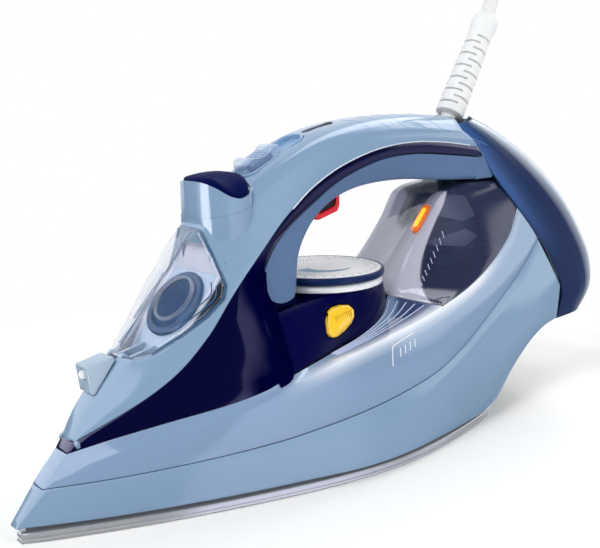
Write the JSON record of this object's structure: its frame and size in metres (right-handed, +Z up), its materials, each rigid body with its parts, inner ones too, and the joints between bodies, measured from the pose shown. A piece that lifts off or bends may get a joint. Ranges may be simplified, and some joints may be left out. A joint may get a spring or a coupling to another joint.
{
  "type": "steam iron",
  "caption": "Corded steam iron with pointed soleplate, tinted water tank, loop handle, round dial, filler door, spray button and swivel cord guard",
  "frame": {"origin": "centre of the iron's bounding box in X and Y without its cord, at the underside of the soleplate", "axes": "+X from nose to heel, +Y to the far side, +Z up out of the soleplate"},
  "size_m": [0.5249, 0.1602, 0.2646],
  "materials": {
    "polished_plate": "polished stainless steel",
    "cast_aluminium": "sand-cast",
    "element_steel": "heat-tinted tube",
    "steel_zinc": "zinc-plated",
    "silicone": "satin silicone rubber",
    "shield_black": "matt heat-resistant phenolic",
    "ceramic": "unglazed ceramic",
    "shell_blue": "glossy moulded polypropylene",
    "tank_blue": "clear tinted polycarbonate",
    "window_clear": "clear polycarbonate",
    "clear_plastic": "clear polycarbonate",
    "frame_dark": "matt moulded nylon",
    "navy_gloss": "glossy moulded ABS",
    "grip_grey_blue": "fine matt soft-touch",
    "silver_trim": "silver-white moulded ABS",
    "dial_cream": "satin printed disc",
    "button_yellow": "glossy moulded ABS",
    "trigger_red": "glossy moulded ABS",
    "inner_white": "satin moulded acetal",
    "inner_grey": "satin moulded nylon",
    "seal_black": "matt rubber",
    "lens_amber": "frosted amber lens",
    "light_dark": "smoked ribbed lens",
    "circuit_green": "solder-masked board",
    "heel_blue": "deep glossy translucent blue",
    "guard_white": "matt flexible vinyl",
    "cord_white": "satin vinyl sheath",
    "tie_grey": "woven hook-and-loop tape",
    "pin_brass": "nickel-plated brass"
  },
  "bodies": {
    "iron": {"soleplate": "polished_plate", "soleplate_casting": "cast_aluminium", "heating_element": "element_steel", "steam_chamber_cover": "cast_aluminium", "chamber_seal": "silicone", "heat_shield": "shield_black", "thermostat": "ceramic", "thermal_fuse": "ceramic", "mounting_posts": "inner_grey", "screws": "steel_zinc", "lower_shell": "shell_blue", "rear_base_cover": "inner_grey", "water_tank": "tank_blue", "tank_floor": "inner_grey", "rear_window": "window_clear", "inner_frame": "frame_dark", "navy_side_panel": "navy_gloss", "dial_base": "navy_gloss", "dial_bezel": "silver_trim", "calc_valve": "inner_white", "upper_housing": "shell_blue", "handle_grip": "grip_grey_blue", "handle_core": "inner_grey", "strut_frame": "inner_grey", "spray_collar": "shell_blue", "spray_button_spring": "steel_zinc", "spray_pump": "inner_white", "slider_track": "shell_blue", "steam_pump": "inner_white", "trigger_spring": "steel_zinc", "door_pin": "steel_zinc", "filler_cup": "inner_white", "filler_seal": "seal_black", "nozzle_housing": "shell_blue", "nozzle_tip": "inner_white", "indicator_lens": "lens_amber", "auto_off_window": "light_dark", "control_board": "circuit_green", "terminal_block": "ceramic", "heel_cover": "heel_blue", "cord_socket": "navy_gloss", "mains_cord": "cord_white", "cord_coil": "cord_white", "cord_tie": "tie_grey", "plug_lead": "cord_white", "mains_plug": "cord_white", "plug_pins": "pin_brass"},
    "dial": {"temperature_dial": "navy_gloss", "dial_face": "dial_cream"},
    "spray": {"spray_button": "navy_gloss"},
    "slider": {"steam_slider": "clear_plastic"},
    "trigger": {"steam_trigger": "trigger_red"},
    "calc": {"calc_clean_button": "button_yellow"},
    "door": {"filler_door": "clear_plastic"},
    "guard": {"cord_guard": "guard_white"}
  },
  "joints": [
    {"name": "dial_turn", "type": "hinge", "parent": "iron", "child": "dial", "pos_m": [-0.002, 0, 0.0864], "axis": [0, 0, 1], "range_deg": [0, 270]},
    {"name": "spray_press", "type": "slide", "parent": "iron", "child": "spray", "axis": [0, 0, -1], "range_m": [0, 0.003], "stiffness_N_per_m": 400, "springref_m": -0.002, "deforming": ["spray_button_spring"]},
    {"name": "steam_slide", "type": "slide", "parent": "iron", "child": "slider", "axis": [0.9055, 0, 0.4243], "range_m": [0, 0.012]},
    {"name": "trigger_pull", "type": "slide", "parent": "iron", "child": "trigger", "axis": [0, 0, 1], "range_m": [0, 0.005], "stiffness_N_per_m": 300, "springref_m": -0.004, "deforming": ["trigger_spring"]},
    {"name": "calc_press", "type": "slide", "parent": "iron", "child": "calc", "axis": [0, 1, 0], "range_m": [0, 0.0025], "stiffness_N_per_m": 400, "springref_m": -0.002},
    {"name": "door_open", "type": "hinge", "parent": "iron", "child": "door", "pos_m": [-0.11772, 0, 0.06588], "axis": [0, -1, 0], "range_deg": [0, 90]},
    {"name": "guard_swing", "type": "hinge", "parent": "iron", "child": "guard", "pos_m": [0.0915, 0, 0.149], "axis": [0, 1, 0], "range_deg": [-15, 15]}
  ]
}
